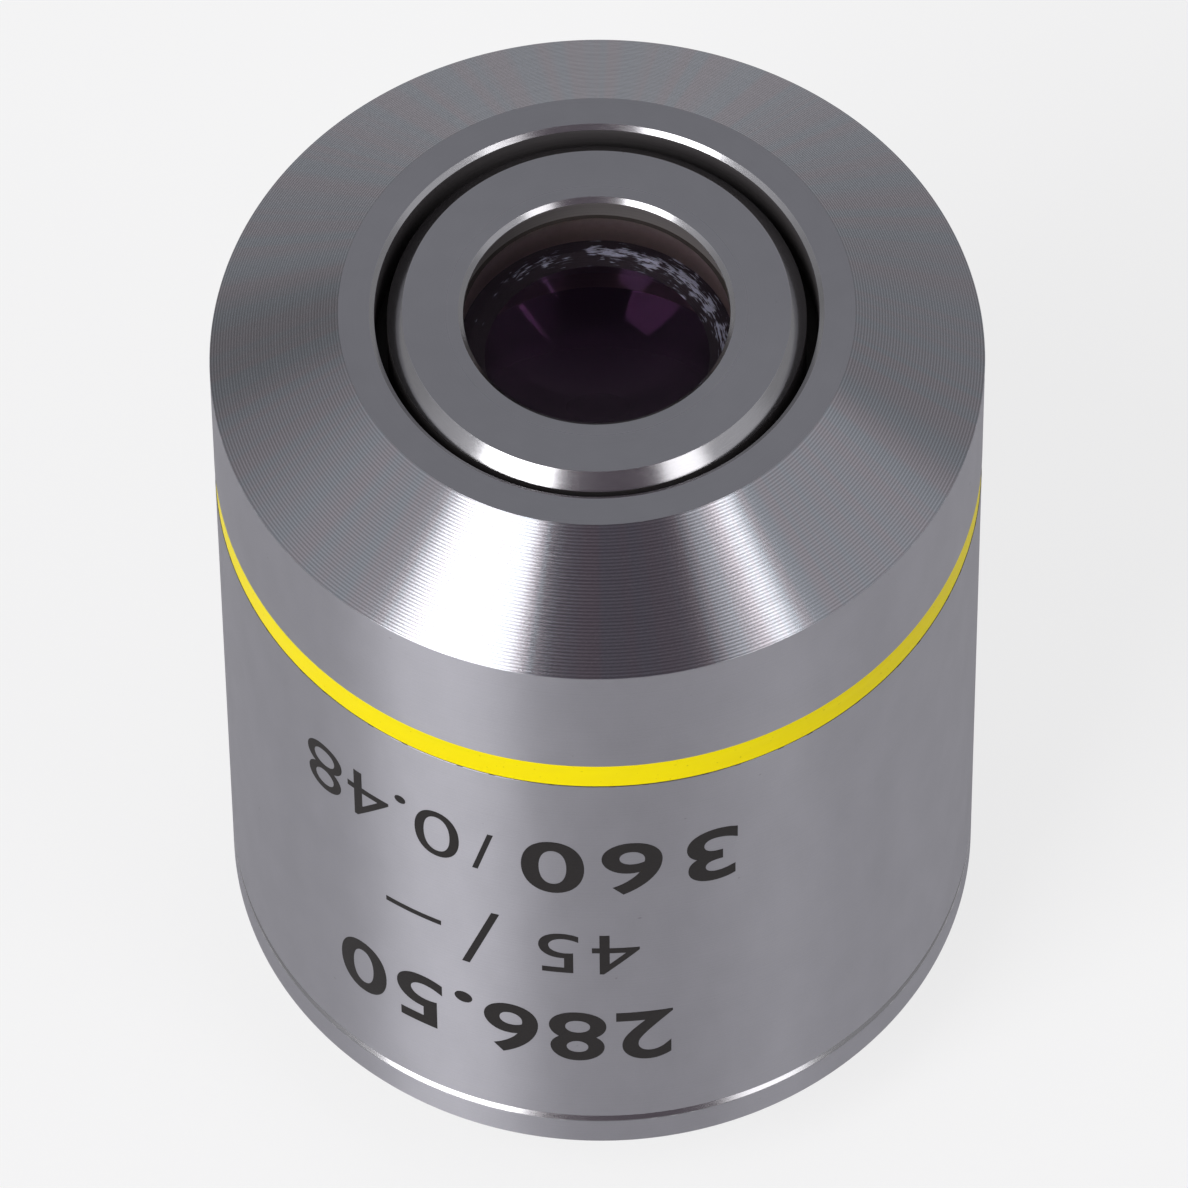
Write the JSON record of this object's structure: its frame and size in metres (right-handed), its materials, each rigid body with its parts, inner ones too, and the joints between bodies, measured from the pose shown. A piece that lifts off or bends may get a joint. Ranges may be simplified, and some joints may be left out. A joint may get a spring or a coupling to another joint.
{
  "type": "microscope objective",
  "caption": "Threaded microscope objective with a satin cylindrical sleeve, a conical nose round a recessed front lens, and a coloured magnification ring.",
  "frame": {"origin": "on the optical axis, in the plane of the mounting shoulder", "axes": "+Z along the optical axis towards the front lens; the objective thread lies below the origin; -Y is the side that the markings face"},
  "size_m": [0.028, 0.028, 0.0393],
  "materials": {
    "sleeve_metal": "satin chrome plating on turned brass",
    "mount_metal": "satin chrome plating on turned brass",
    "nose_metal": "satin chrome plating with polished chamfers",
    "ring_paint": "gloss enamel",
    "barrel_brass": "turned",
    "lock_ring_brass": "blackened",
    "shim_brass": "rolled",
    "cell_metal": "black anodised",
    "spacer_metal": "black anodised, ribbed bore",
    "stop_metal": "matte black anodised",
    "retainer_metal": "black anodised",
    "screw_steel": "blued",
    "front_glass": "polished, with an antireflection coating",
    "lens_glass": "polished, coated"
  },
  "bodies": {
    "root": {"outer_sleeve": "sleeve_metal", "colour_ring": "ring_paint", "mount_body": "mount_metal", "parfocal_shim": "shim_brass", "lens_barrel": "barrel_brass", "centring_screws": "screw_steel", "barrel_lock_ring": "lock_ring_brass", "front_cell": "nose_metal", "front_lens": "front_glass", "front_lens_ring": "retainer_metal", "second_cell": "cell_metal", "second_lens": "lens_glass", "third_cell": "cell_metal", "third_crown_lens": "lens_glass", "third_flint_lens": "lens_glass", "fourth_cell": "cell_metal", "fourth_crown_lens": "lens_glass", "fourth_flint_lens": "lens_glass", "rear_cell": "cell_metal", "rear_lens": "lens_glass", "rear_lens_ring": "retainer_metal", "front_spacer": "spacer_metal", "middle_spacer": "spacer_metal", "rear_spacer": "spacer_metal", "aperture_stop": "stop_metal", "cell_retaining_ring": "retainer_metal"}
  },
  "joints": []
}
